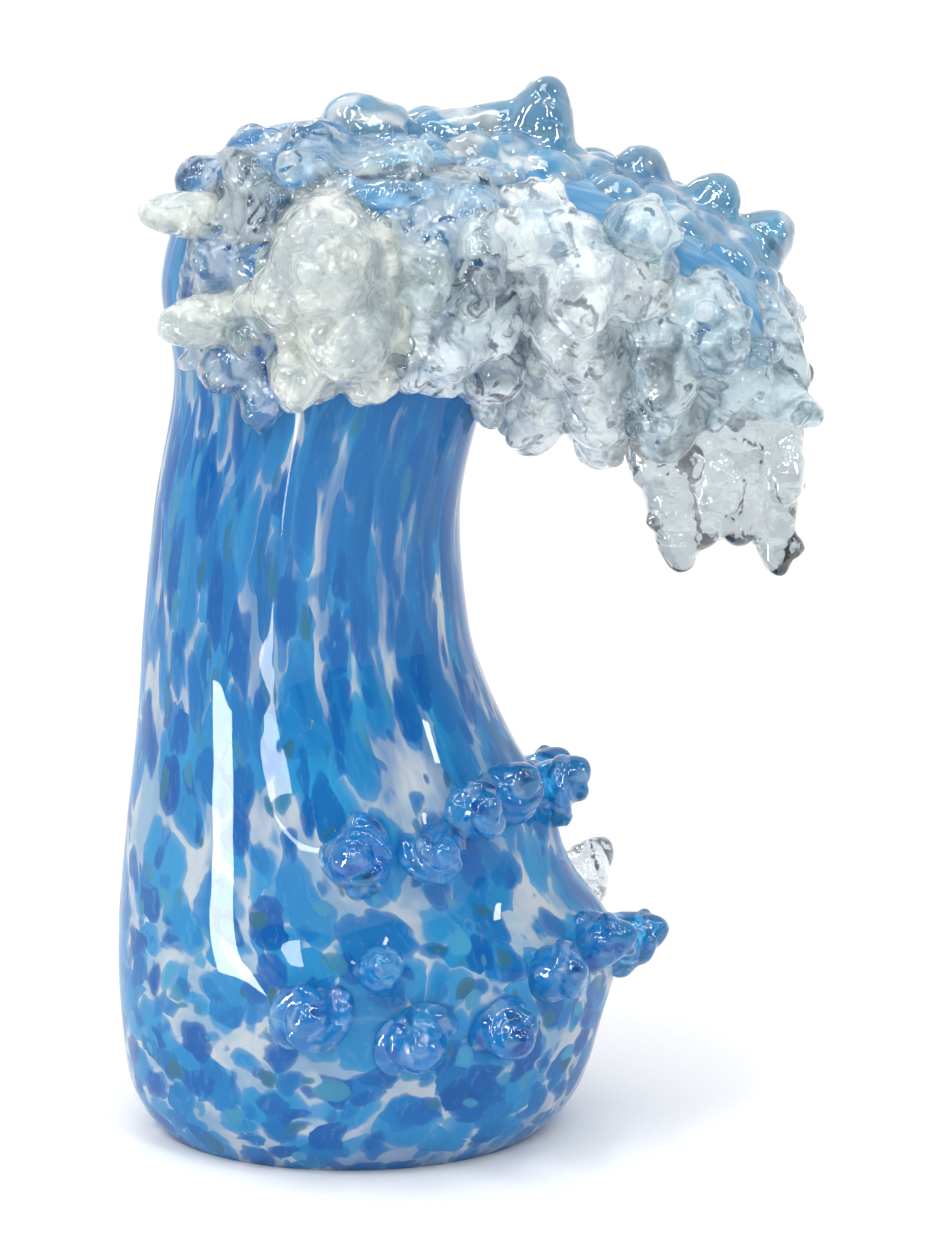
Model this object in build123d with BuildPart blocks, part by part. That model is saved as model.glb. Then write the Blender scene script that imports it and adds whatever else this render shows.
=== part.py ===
"""A solid hot-worked glass wave that stands on its ground foot.

A white opal core, spotted with blue, runs up from the foot, narrows to a neck and curls over towards +X.
A clear casing wraps the core. Separate bits of clear and milky glass are then laid on hot: the foam along
the lip, the fingers of spray at its tip, the peaks along its back and two rows of splashes at the bottom.
Each bit is a solid of its own that seats on the casing's skin. The origin is the centre of the foot, +X is
the way the wave breaks and -Y is the side that carries most of the foam.
"""
from build123d import *
from math import cos, hypot, radians, sin
import os

# Driving dimensions, in millimetres
FOOT_WIDTH = 86.0
FOOT_DEPTH = 70.0
BODY_WIDTH = 109.0
BODY_DEPTH = 87.0
COLUMN_HEIGHT = 170.0
CREST_REACH = 94.0
CREST_RISE = 58.0
CREST_DEPTH = 84.0
CASING_WALL = 3.0
FOOT_WALL = 6.0

# Column sections: height share of COLUMN_HEIGHT, then back, face and depth shares. Back and face are shares
# of half the body's width, and depth is a share of the body's depth.
COLUMN_SHARES = (
    (0.03, -0.862, 0.888, 0.92),
    (0.07, -0.917, 0.963, 0.98),
    (0.13, -0.942, 1.018, 1),
    (0.20, -0.954, 1.055, 1),
    (0.28, -0.950, 1.035, 1),
    (0.35, -0.932, 0.905, 0.955),
    (0.44, -0.902, 0.778, 0.91),
    (0.52, -0.872, 0.663, 0.86),
    (0.60, -0.847, 0.555, 0.815),
    (0.68, -0.832, 0.483, 0.78),
    (0.84, -0.777, 0.453, 0.75),
    (1.00, -0.692, 0.568, 0.79),
)
# Crest sections: x and z of the outer edge, x and z of the inner edge, and depth. x is a share of the
# crest's reach, z a share of its rise above the column, and depth a share of the crest's depth.
CREST_SHARES = (
    (-0.427, 0.380, 0.349, 0.155, 0.89),
    (-0.350, 0.720, 0.382, 0.270, 0.95),
    (-0.182, 0.925, 0.435, 0.330, 1.00),
    (0.129, 0.925, 0.502, 0.355, 1.00),
    (0.416, 0.850, 0.574, 0.320, 0.95),
    (0.679, 0.720, 0.660, 0.225, 0.88),
    (0.890, 0.550, 0.746, 0.090, 0.76),
    (1.000, 0.330, 0.852, -0.070, 0.60),
)
CORE_CREST_SECTIONS = 7
# How far the guide points of a round outline stand out, as a share of its radius
FULLNESS = 1.07

# Foam: lobes of hot glass. Each is a row of where it sits (along the crest from the column's top, and the
# bearing round it in degrees, 0 on the back and 90 on the -Y side), how far it droops and leans, and its
# root radius, tip radius and length as shares of the sizes below.
LOBE_RADIUS = 10.0
LOBE_LENGTH = 20.0
LOBE_SINK_SHARE = 0.35

FOAM_SHARES = {
    "foam_mass_left": (
        (0.28, 80, 0.4, 0.0, 1.45, 1.20, 0.40),
        (0.16, 95, 0.3, 0.0, 1.30, 1.10, 0.35),
        (0.06, 80, 0.7, 0.0, 0.80, 0.65, 0.45),
        (0.07, 105, 0.6, 0.1, 0.85, 0.70, 0.35),
        (0.19, 76, 0.2, -0.1, 0.90, 0.75, 0.35),
    ),
    "foam_finger_upper": ((0.24, 35, 0.1, -1.4, 0.75, 0.42, 0.70),),
    "foam_finger_lower": ((0.12, 60, 0.2, -1.6, 0.85, 0.55, 0.75),),
    "foam_veil_left": (
        (0.07, 58, 0.5, -0.2, 0.75, 0.60, 0.35),
        (0.03, 66, 0.7, 0.0, 0.65, 0.50, 0.35),
        (0.12, 68, 0.3, 0.0, 0.70, 0.55, 0.35),
        (0.20, 52, 0.2, -0.3, 0.60, 0.45, 0.35),
    ),
    "foam_ridge": (
        (0.27, 18, 0.0, -0.2, 0.75, 0.60, 0.25),
        (0.33, 42, 0.0, -0.3, 0.65, 0.50, 0.30),
        (0.41, 40, 0.0, 0.0, 0.70, 0.50, 0.30),
        (0.38, 52, 0.1, 0.0, 0.60, 0.45, 0.30),
    ),
    "foam_streaks": (
        (0.43, 88, 0.7, 0.0, 0.75, 0.60, 0.80),
        (0.52, 80, 0.6, 0.2, 0.70, 0.55, 0.80),
    ),
    "foam_mass_centre": (
        (0.19, 124, 0.4, 0.2, 1.15, 1.00, 0.40),
        (0.12, 146, 0.5, 0.4, 1.05, 0.90, 0.45),
        (0.28, 128, 0.5, 0.3, 1.00, 0.85, 0.50),
        (0.20, 168, 0.4, 0.5, 0.85, 0.70, 0.35),
    ),
    "foam_lobe_bright": ((0.60, 66, 0.3, 0.2, 0.95, 0.75, 0.45),),
    "foam_mass_mid": (
        (0.63, 95, 0.5, 0.0, 1.00, 0.85, 0.55),
        (0.53, 130, 0.7, 0.1, 1.15, 0.95, 0.80),
        (0.50, 160, 1.0, 0.0, 1.10, 0.90, 0.95),
        (0.66, 150, 1.0, 0.0, 1.20, 1.00, 1.25),
    ),
    "foam_mass_under": (
        (0.60, 185, 1.0, -0.4, 1.10, 0.90, 1.50),
        (0.74, 180, 1.0, -0.1, 1.05, 0.85, 1.40),
    ),
    "foam_mass_outer": (
        (0.74, 75, 0.4, 0.0, 0.90, 0.75, 0.45),
        (0.80, 105, 0.7, 0.1, 0.95, 0.80, 0.80),
        (0.86, 85, 0.6, 0.1, 0.85, 0.70, 0.60),
        (0.84, 130, 0.9, 0.0, 1.00, 0.85, 1.05),
    ),
    "foam_back_left": (
        (0.14, 250, 0.4, 0.0, 1.10, 0.90, 0.40),
        (0.24, 275, 0.3, 0.0, 1.20, 1.00, 0.40),
        (0.10, 285, 0.6, 0.0, 0.90, 0.70, 0.45),
        (0.34, 262, 0.4, 0.0, 1.00, 0.85, 0.45),
    ),
    "foam_back_right": (
        (0.50, 255, 0.6, 0.0, 1.05, 0.85, 0.60),
        (0.60, 240, 0.8, 0.0, 1.10, 0.90, 0.80),
        (0.72, 250, 0.8, 0.1, 1.00, 0.80, 0.80),
        (0.84, 240, 0.9, 0.1, 0.90, 0.70, 0.90),
    ),
    "tip_fin": ((0.95, 62, 0.8, 0.25, 0.60, 0.42, 0.90),),
    "tip_knob": ((0.97, 110, 0.30, 1.9, 0.62, 0.48, 0.90),),
}

# The clear veil that hangs from the crest's end, measured from the middle of that end: how far each oval
# lies below it as a share of the drop, its outer and inner edges as shares of the width, and its depth
TIP_WIDTH = 34.0
TIP_DROP = 42.0
TIP_DEPTH = 24.0
TIP_SHARES = (
    (-0.20, 0.27, -0.37, 0.75),
    (0.13, 0.33, -0.52, 1.00),
    (0.46, 0.39, -0.61, 0.83),
    (0.75, 0.39, -0.61, 0.58),
    (0.96, 0.27, -0.52, 0.30),
)
# Drips at the veil's lower corners: place across, deep and down as shares of the veil's width, depth and
# drop, then lean, and root radius, tip radius and length as shares of the drip's
DRIP_RADIUS = 5.5
DRIP_LENGTH = 12.0
DRIP_SHARES = {
    "tip_drip_near": (-0.46, -0.17, 0.80, -0.1, 1.00, 0.82, 1.00),
    "tip_drip_far": (0.21, 0.12, 0.76, 0.1, 1.00, 0.90, 0.90),
}

# Peaks pulled up along the crest's back: along, bearing, rise of the pull and lean, then shares of the
# peak's root radius, tip radius and length
PEAK_ROOT = 10.0
PEAK_TIP = 4.0
PEAK_LENGTH = 20.0
PEAK_SHARES = {
    "crest_knob_large": (0.455, 12, 0.2, 0.0, 1.00, 2.00, 0.15),
    "crest_knob_small": (0.49, 10, 0.2, 0.1, 0.50, 0.90, 0.20),
    "crest_peak_tall": (0.61, 5, 0.9, 0.30, 1.40, 1.00, 0.85),
    "crest_peak_second": (0.74, 5, 0.4, 0.0, 1.00, 0.90, 0.28),
    "crest_peak_third": (0.82, 12, 0.3, 0.3, 0.80, 0.75, 0.28),
    "crest_peak_end": (0.90, 8, 0.1, 0.7, 0.80, 0.65, 0.42),
}

# Splashes: height share of the column, bearing from the face (+X) towards -Y, upward lift, then shares of
# the splash's root radius, tip radius and length
SPLASH_ROOT = 8.5
SPLASH_TIP = 4.5
SPLASH_LENGTH = 14.0
UPPER_SPLASH_SHARES = (
    (0.425, 84, 0.15, 1.10, 1.10, 0.70),
    (0.420, 60, 0.10, 0.95, 1.00, 0.75),
    (0.460, 44, 0.15, 0.95, 1.00, 0.70),
    (0.475, 28, 0.15, 0.95, 1.00, 0.70),
    (0.445, 6, 0.20, 1.00, 1.05, 0.90),
    (0.425, -20, 0.20, 0.95, 1.00, 0.80),
)
LOWER_SPLASH_SHARES = (
    (0.225, 103, 0.10, 1.10, 1.10, 0.65),
    (0.280, 83, 0.30, 0.70, 0.85, 0.80),
    (0.190, 74, 0.05, 1.15, 1.20, 0.70),
    (0.190, 50, 0.10, 0.95, 1.05, 0.75),
    (0.250, 36, 0.20, 0.95, 1.00, 0.80),
    (0.265, 20, 0.20, 0.90, 0.95, 0.85),
    (0.245, 4, 0.20, 0.95, 1.05, 0.90),
    (0.270, -26, 0.35, 0.95, 1.05, 1.00),
    (0.265, -52, 0.25, 0.95, 1.00, 0.90),
)


def column_station(row):
    """Outer and inner edge points (x, z) and the depth of a column section."""
    height, back, face, depth = row
    z = height * COLUMN_HEIGHT
    return (back * BODY_WIDTH / 2, z), (face * BODY_WIDTH / 2, z), depth * BODY_DEPTH


def crest_station(row):
    """Outer and inner edge points (x, z) and the depth of a crest section."""
    outer_x, outer_z, inner_x, inner_z, depth = row
    outer = (outer_x * CREST_REACH, COLUMN_HEIGHT + outer_z * CREST_RISE)
    inner = (inner_x * CREST_REACH, COLUMN_HEIGHT + inner_z * CREST_RISE)
    return outer, inner, depth * CREST_DEPTH


FOOT_STATION = (-FOOT_WIDTH / 2, 0), (FOOT_WIDTH / 2, 0), FOOT_DEPTH
COLUMN_STATIONS = [FOOT_STATION] + [column_station(row) for row in COLUMN_SHARES]
CREST_STATIONS = [column_station(COLUMN_SHARES[-1])] + [crest_station(row) for row in CREST_SHARES]


def between(low, high, share):
    """The section that lies a share of the way from one section to the next."""

    def mix(a, b):
        return a + (b - a) * share

    outer = tuple(mix(a, b) for a, b in zip(low[0], high[0]))
    inner = tuple(mix(a, b) for a, b in zip(low[1], high[1]))
    return outer, inner, mix(low[2], high[2])


def crest_section(along):
    """The crest's section at a share of its length from the column's top."""
    steps = along * (len(CREST_STATIONS) - 1)
    index = min(int(steps), len(CREST_STATIONS) - 2)
    return between(CREST_STATIONS[index], CREST_STATIONS[index + 1], steps - index)


def column_section(height):
    """The column's section at a height above the foot."""
    index = 0
    while COLUMN_STATIONS[index + 1][0][1] < height:
        index += 1
    low, high = COLUMN_STATIONS[index], COLUMN_STATIONS[index + 1]
    return between(low, high, (height - low[0][1]) / (high[0][1] - low[0][1]))


def section_plane(section):
    """The plane of a section: its x runs from the inner to the outer edge and its y towards -Y."""
    (outer_x, outer_z), (inner_x, inner_z), depth = section
    run_x, run_z = outer_x - inner_x, outer_z - inner_z
    centre = ((outer_x + inner_x) / 2, 0, (outer_z + inner_z) / 2)
    return Plane(origin=centre, x_dir=(run_x, 0, run_z), z_dir=(run_z, 0, -run_x))


def half_sizes(section, wall):
    """Half the width and half the depth of a section, taken in by a wall."""
    (outer_x, outer_z), (inner_x, inner_z), depth = section
    return hypot(outer_x - inner_x, outer_z - inner_z) / 2 - wall, depth / 2 - wall


def glass_loft(sections, wall):
    """A smooth solid through oval sections, each taken in by a wall and drawn as two matching halves."""
    with BuildPart() as lofted:
        for section in sections:
            half_width, half_depth = half_sizes(section, wall)
            bulge = FULLNESS * half_depth
            near = ((half_width, 0), (half_width, bulge), (0, bulge), (0, bulge), (-half_width, bulge), (-half_width, 0))
            far = [(x, -y) for x, y in reversed(near)]
            with BuildSketch(section_plane(section)):
                with BuildLine():
                    Bezier(*near)
                    Bezier(*far)
                make_face()
        loft()
    return lofted.part


def droplet(plane, root_radius, tip_radius, length):
    """A bit of hot glass: a round root at the plane's origin, drawn along its z to a rounded tip."""
    top = length + tip_radius
    side = (
        (0, -root_radius),
        (FULLNESS * root_radius, -root_radius),
        (FULLNESS * root_radius, length / 4),
        (FULLNESS * tip_radius, length * 3 / 4),
        (FULLNESS * tip_radius, top),
        (0, top),
    )
    with BuildPart() as bit:
        with BuildSketch(Plane(plane.origin, x_dir=plane.x_dir, z_dir=-plane.y_dir)):
            with BuildLine():
                Bezier(*side)
                Line((0, top), (0, -root_radius))
            make_face()
        revolve(axis=Axis(plane.origin, plane.z_dir))
    return bit.part


def skin_hit(start, direction):
    """Where a line that starts inside the casing first leaves its skin, and the outward normal there."""
    hits = skin.find_intersection_points(Axis(start, direction))
    ahead = [hit for hit in hits if (hit[0] - start).dot(direction) > 0]
    point, normal = min(ahead, key=lambda hit: (hit[0] - start).dot(direction))
    if normal.dot(direction) < 0:
        normal = -normal
    return point, normal


def pull_plane(point, normal, way, sink):
    """The plane of a bit that is rooted below the skin and drawn along a way."""
    return Plane(origin=point - normal * sink, z_dir=way)


def crest_hit(along, bearing):
    """The skin point and normal at a place on the crest."""
    plane = section_plane(crest_section(along))
    direction = plane.x_dir * cos(radians(bearing)) + plane.y_dir * sin(radians(bearing))
    return skin_hit(plane.origin, direction)


def seated(drop):
    """A bit of glass without the part of it that lies inside the casing."""
    with BuildPart() as bit:
        add(drop)
        add(outer_form, mode=Mode.SUBTRACT)
    return bit.part


def lobe(row):
    """A lobe of foam that droops and leans from its place on the crest."""
    along, bearing, droop, lean, root, tip, reach = row
    point, normal = crest_hit(along, bearing)
    way = normal * (1 - droop) + Vector(lean, 0, -droop)
    plane = pull_plane(point, normal, way, LOBE_SINK_SHARE * root * LOBE_RADIUS)
    return seated(droplet(plane, root * LOBE_RADIUS, tip * LOBE_RADIUS, reach * LOBE_LENGTH))


def tip_point(across, deep, down):
    """A point on or about the veil, from its shares."""
    (outer_x, outer_z), (inner_x, inner_z), depth = CREST_STATIONS[-1]
    x = (outer_x + inner_x) / 2 + across * TIP_WIDTH
    z = (outer_z + inner_z) / 2 - down * TIP_DROP
    return Vector(x, deep * TIP_DEPTH, z)


def veil_section(row):
    """One level oval of the veil."""
    down, outer, inner, depth = row
    edges = [tip_point(across, 0, down) for across in (outer, inner)]
    return (edges[0].X, edges[0].Z), (edges[1].X, edges[1].Z), depth * TIP_DEPTH


def drip(row):
    """A drip at a corner of the veil."""
    across, deep, down, lean, root, tip, reach = row
    plane = Plane(tip_point(across, deep, down), z_dir=(lean, 0, -1))
    return droplet(plane, root * DRIP_RADIUS, tip * DRIP_RADIUS, reach * DRIP_LENGTH)


def peak(row):
    """A peak drawn up from the crest's back."""
    along, bearing, rise, lean, root, tip, reach = row
    point, normal = crest_hit(along, bearing)
    way = normal * (1 - rise) + Vector(lean, 0, rise)
    plane = pull_plane(point, normal, way, LOBE_SINK_SHARE * root * PEAK_ROOT)
    return seated(droplet(plane, root * PEAK_ROOT, tip * PEAK_TIP, reach * PEAK_LENGTH))


def splash(row):
    """A splash drawn out from the column and lifted."""
    height, bearing, lift, root, tip, reach = row
    section = column_section(height * COLUMN_HEIGHT)
    centre = section_plane(section).origin
    direction = Vector(cos(radians(bearing)), -sin(radians(bearing)), 0)
    point, normal = skin_hit(centre, direction)
    way = normal * (1 - lift) + Vector(0, 0, lift)
    plane = pull_plane(point, normal, way, LOBE_SINK_SHARE * root * SPLASH_ROOT)
    return seated(droplet(plane, root * SPLASH_ROOT, tip * SPLASH_TIP, reach * SPLASH_LENGTH))


def boxes_meet(one, other):
    """Whether two bounding boxes touch or overlap."""
    across = one.min.X <= other.max.X and other.min.X <= one.max.X
    deep = one.min.Y <= other.max.Y and other.min.Y <= one.max.Y
    high = one.min.Z <= other.max.Z and other.min.Z <= one.max.Z
    return across and deep and high


# The glass body: the outer form, the opal core inside it and the clear casing between the two
outer_form = glass_loft(COLUMN_STATIONS + CREST_STATIONS[1:], 0)
skin = outer_form.shell()
core_column = [section for section in COLUMN_STATIONS if section[0][1] > FOOT_WALL * 1.5]
core_sections = [column_section(FOOT_WALL)] + core_column + CREST_STATIONS[1:CORE_CREST_SECTIONS + 1]
opal_core = glass_loft(core_sections, CASING_WALL)

with BuildPart() as casing:
    add(outer_form)
    add(opal_core, mode=Mode.SUBTRACT)

parts = {"opal_core": opal_core, "clear_casing": casing.part}

# Everything laid on hot, in the order it goes on: each is cut to seat on what is there already
bits = {}
for name, rows in FOAM_SHARES.items():
    bits[name] = [lobe(row) for row in rows]
bits["tip_veil"] = [seated(glass_loft([veil_section(row) for row in TIP_SHARES], 0))]
for name, row in DRIP_SHARES.items():
    bits[name] = [drip(row)]
for name, row in PEAK_SHARES.items():
    bits[name] = [peak(row)]
for count, row in enumerate(UPPER_SPLASH_SHARES, 1):
    bits[f"upper_splash_{count}"] = [splash(row)]
for count, row in enumerate(LOWER_SPLASH_SHARES, 1):
    bits[f"lower_splash_{count}"] = [splash(row)]

laid = []
for name, drops in bits.items():
    with BuildPart() as mass:
        for drop in drops:
            add(drop)
        size = mass.part.bounding_box()
        for below, box in laid:
            if boxes_meet(size, box):
                add(below, mode=Mode.SUBTRACT)
    parts[name] = mass.part
    laid.append((mass.part, size))

os.makedirs("parts", exist_ok=True)
for name, piece in parts.items():
    piece.label = name
    export_step(piece, f"parts/{name}.step")
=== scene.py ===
import math

import bpy
import mathutils
import numpy as np
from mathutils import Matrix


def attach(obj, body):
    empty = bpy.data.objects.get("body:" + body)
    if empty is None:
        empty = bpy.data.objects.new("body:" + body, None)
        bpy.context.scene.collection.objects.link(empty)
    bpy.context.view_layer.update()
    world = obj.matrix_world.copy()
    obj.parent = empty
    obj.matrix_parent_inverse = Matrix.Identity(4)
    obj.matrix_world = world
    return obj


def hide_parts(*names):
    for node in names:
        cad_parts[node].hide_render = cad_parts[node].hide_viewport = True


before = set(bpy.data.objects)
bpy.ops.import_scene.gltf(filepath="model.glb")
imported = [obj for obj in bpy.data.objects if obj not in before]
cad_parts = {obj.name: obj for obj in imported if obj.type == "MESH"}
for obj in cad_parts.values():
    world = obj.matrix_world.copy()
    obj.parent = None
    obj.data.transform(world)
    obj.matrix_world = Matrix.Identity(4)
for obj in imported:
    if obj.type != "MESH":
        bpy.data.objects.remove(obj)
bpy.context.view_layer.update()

MM = 0.001
SEED = 7
rng = np.random.default_rng(SEED)
scene = bpy.context.scene

# Colours and node helpers


def srgb(code):
    """A linear colour from an sRGB hex code such as 2266aa."""
    parts = [int(code[i : i + 2], 16) / 255 for i in (0, 2, 4)]
    return tuple(c / 12.92 if c <= 0.04045 else ((c + 0.055) / 1.055) ** 2.4 for c in parts) + (1.0,)


def grey(level):
    """A plain level of light, where 1 is white."""
    return (level, level, level, 1.0)


def per(size):
    """Pattern cells per metre for features of a size in millimetres."""
    return 1000.0 / size


def node(tree, kind, props=None, inputs=None):
    """Adds a node; each input is a plain value or another node's output socket."""
    made = tree.nodes.new(kind)
    for name, value in (props or {}).items():
        setattr(made, name, value)
    for name, value in (inputs or {}).items():
        if isinstance(value, bpy.types.NodeSocket):
            tree.links.new(value, made.inputs[name])
        else:
            made.inputs[name].default_value = value
    return made


def maths(tree, operation, a, b=0.0):
    """The output of a maths node on two values or sockets."""
    return node(tree, "ShaderNodeMath", {"operation": operation}, {0: a, 1: b}).outputs[0]


def blend(tree, factor, low, high):
    """A colour between two colours or sockets."""
    mixed = node(tree, "ShaderNodeMix", {"data_type": "RGBA"}, {0: factor, 6: low, 7: high})
    return mixed.outputs[2]


def ramp(tree, factor, low, high):
    """0 below one value, 1 above the other and smooth between."""
    values = {0: factor, 1: low, 2: high, 3: 0.0, 4: 1.0}
    return node(tree, "ShaderNodeMapRange", {"interpolation_type": "SMOOTHSTEP"}, values).outputs[0]


def noise(tree, vector, size, detail=2.0, roughness=0.5, distortion=0.0):
    """A noise texture node with features of a size in millimetres."""
    values = {"Vector": vector, "Scale": per(size), "Detail": detail}
    values.update({"Roughness": roughness, "Distortion": distortion})
    return node(tree, "ShaderNodeTexNoise", None, values)


def vector_maths(tree, operation, a, b):
    """The output of a vector maths node on two vectors or sockets."""
    return node(tree, "ShaderNodeVectorMath", {"operation": operation}, {0: a, 1: b}).outputs[0]


def attribute(tree, name):
    """An attribute node that reads one of the mesh's own attributes."""
    return node(tree, "ShaderNodeAttribute", {"attribute_name": name})


def new_material(name):
    """A new node material, its tree and its Principled node."""
    material = bpy.data.materials.new(name)
    material.use_nodes = True
    return material, material.node_tree, material.node_tree.nodes["Principled BSDF"]


def warped(tree, vector, size, amount):
    """A vector socket moved about by noise, with its features' size and its reach in millimetres."""
    cloud = noise(tree, vector, size, 1.0).outputs["Color"]
    centred = vector_maths(tree, "SUBTRACT", cloud, (0.5, 0.5, 0.5))
    moved = vector_maths(tree, "MULTIPLY", centred, (amount * MM,) * 3)
    return vector_maths(tree, "ADD", vector, moved)


# Meshes


def shape(name, points, faces, material, smooth=True):
    """A mesh object from points in millimetres and a list of faces."""
    mesh = bpy.data.meshes.new(name)
    mesh.from_pydata((np.asarray(points) * MM).tolist(), [], np.asarray(faces).tolist())
    mesh.validate()
    mesh.update()
    if smooth:
        mesh.polygons.foreach_set("use_smooth", [True] * len(mesh.polygons))
    mesh.materials.append(material)
    made = bpy.data.objects.new(name, mesh)
    scene.collection.objects.link(made)
    return made


def closing(ring):
    """A strip of quads across a closed ring with an even number of points.

    Quad i joins points i and i + 1 to the points as far from the ring's end.
    """
    i = np.arange(len(ring) // 2 - 1)
    return np.stack([ring[i], ring[i + 1], ring[-i - 2], ring[-i - 1]], -1)


def tube_faces(rings, sides):
    """Quads of a stack of closed rings, numbered ring by ring, with both ends closed."""
    grid = np.arange(rings * sides).reshape(rings, sides)
    turned = np.roll(grid, -1, axis=1)
    walls = np.stack([grid[:-1], turned[:-1], turned[1:], grid[1:]], -1).reshape(-1, 4)
    return np.concatenate([walls, closing(grid[0, ::-1]), closing(grid[-1])])


def unit(vector):
    """The vector divided by its length."""
    vector = np.asarray(vector, float)
    return vector / np.linalg.norm(vector)


def revolved(origin, axis, profile, sides):
    """Points and quads of a round form about an axis.

    Each profile row (radius, height) gives a ring: the origin, plus height along the axis, plus radius
    times (cosine, sine) of the turn across it.
    """
    axis = unit(axis)
    side = unit(np.cross(axis, (0.0, 1.0, 0.3) if abs(axis[1]) < 0.9 else (1.0, 0.0, 0.0)))
    other = np.cross(axis, side)
    radius, height = np.asarray(profile, float).T
    centre = np.asarray(origin) + height[:, None] * axis
    turn = np.linspace(0, 2 * np.pi, sides, endpoint=False)
    ring = np.cos(turn)[:, None] * side + np.sin(turn)[:, None] * other
    points = centre[:, None, :] + radius[:, None, None] * ring[None]
    return points.reshape(-1, 3), tube_faces(len(profile), sides)


STRAND_SIDES = 16
# A little over 1, so that a strand's end rings have a size
STRAND_END = 1.02
# The way that the first point of a strand's first ring leans to
FIRST_SIDE = (0.2, 0.9, 0.4)


def strand(line, radii):
    """Points and quads of a round strand of glass along a smooth line, closed at both ends.

    Each ring is a circle across the line, and the rings' first points follow on without a twist. The
    radius is times the root of 1.02 less the sixth power of the share from the middle, which leaves
    a small ring at each end to close.
    """
    line = np.asarray(line, float)
    radii = np.asarray(radii) * np.sqrt(STRAND_END - np.linspace(-1, 1, len(line)) ** 6)
    ahead = np.gradient(line, axis=0)
    side = np.array(FIRST_SIDE)
    turn = np.linspace(0, 2 * np.pi, STRAND_SIDES, endpoint=False)
    points = []
    for centre, way, radius in zip(line, ahead, radii):
        way = unit(way)
        side = unit(side - way * (side @ way))
        ring = np.cos(turn)[:, None] * side + np.sin(turn)[:, None] * np.cross(way, side)
        points.append(centre + radius * ring)
    return np.concatenate(points), tube_faces(len(line), STRAND_SIDES)


# A drop's guide points stand this share outside it, because the curve stays inside them
FULLNESS = 1.07
# Where a profile starts and ends on its curve: just off the axis, so that its ends are closed by rings
POLES = (0.004, 0.996)


def drop_profile(root, tip, length, rows=17):
    """(radius, height) rows of a hot bit, from a wide root to a round tip.

    It is a Bezier curve of degree five: a row is the sum of six guide points, each times five over k, t
    to the k and (1 - t) to the rest, where t runs from 0 to 1 and is denser at both ends.
    """
    t = (1 - np.cos(np.linspace(0, np.pi, rows))) / 2
    t[[0, -1]] = POLES
    top = length + tip
    guides = np.array(
        [
            (0, -root),
            (FULLNESS * root, -root),
            (FULLNESS * root, length / 4),
            (FULLNESS * tip, length * 3 / 4),
            (FULLNESS * tip, top),
            (0, top),
        ]
    )
    weights = np.array([math.comb(5, k) * t**k * (1 - t) ** (5 - k) for k in range(6)])
    return weights.T @ guides


def joined(forms):
    """One set of points and quads from several."""
    points, faces, count = [], [], 0
    for form_points, form_faces in forms:
        points.append(form_points)
        faces.append(form_faces + count)
        count += len(form_points)
    return np.concatenate(points), np.concatenate(faces)


RIPPLE_SEED = 11


def waves(points, size, seed):
    """A smooth value from about -1 to 1 at each point.

    It is a quarter of the sum of sines in six seeded directions, each shifted by 1.3 of the sum so far.
    """
    local = np.random.default_rng(seed)
    ways = local.normal(size=(6, 3))
    ways /= np.linalg.norm(ways, axis=1, keepdims=True)
    phase = local.uniform(0, 6.28, 6)
    value = np.zeros(len(points))
    for way, start in zip(ways, phase):
        value = value + np.sin(points @ way * 6.28 / size + start + 1.3 * value)
    return value / 4


def fused(name, forms, material, voxel, smoothing, height, size):
    """Bits of hot glass run together into one closed skin, then rippled.

    A point moves along its normal by height times the waves of that size, both in millimetres.
    """
    points, faces = joined(forms)
    source = shape(name + "_source", points, faces, material)
    remesh = source.modifiers.new("fuse", "REMESH")
    remesh.mode = "VOXEL"
    remesh.voxel_size = voxel * MM
    relax = source.modifiers.new("relax", "SMOOTH")
    relax.factor = 0.5
    relax.iterations = smoothing
    graph = bpy.context.evaluated_depsgraph_get()
    mesh = bpy.data.meshes.new_from_object(source.evaluated_get(graph))
    bpy.data.objects.remove(source)
    count = len(mesh.vertices)
    place = np.empty(count * 3)
    mesh.vertices.foreach_get("co", place)
    normal = np.empty(count * 3)
    mesh.vertex_normals.foreach_get("vector", normal)
    place, normal = place.reshape(-1, 3), normal.reshape(-1, 3)
    push = height * waves(place / MM, size, RIPPLE_SEED)
    place = place + normal * (push * MM)[:, None]
    mesh.vertices.foreach_set("co", place.ravel())
    mesh.polygons.foreach_set("use_smooth", [True] * len(mesh.polygons))
    mesh.name = name
    mesh.materials.clear()
    mesh.materials.append(material)
    mesh.update()
    made = bpy.data.objects.new(name, mesh)
    scene.collection.objects.link(made)
    return made


# The wave's form, in millimetres

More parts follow.
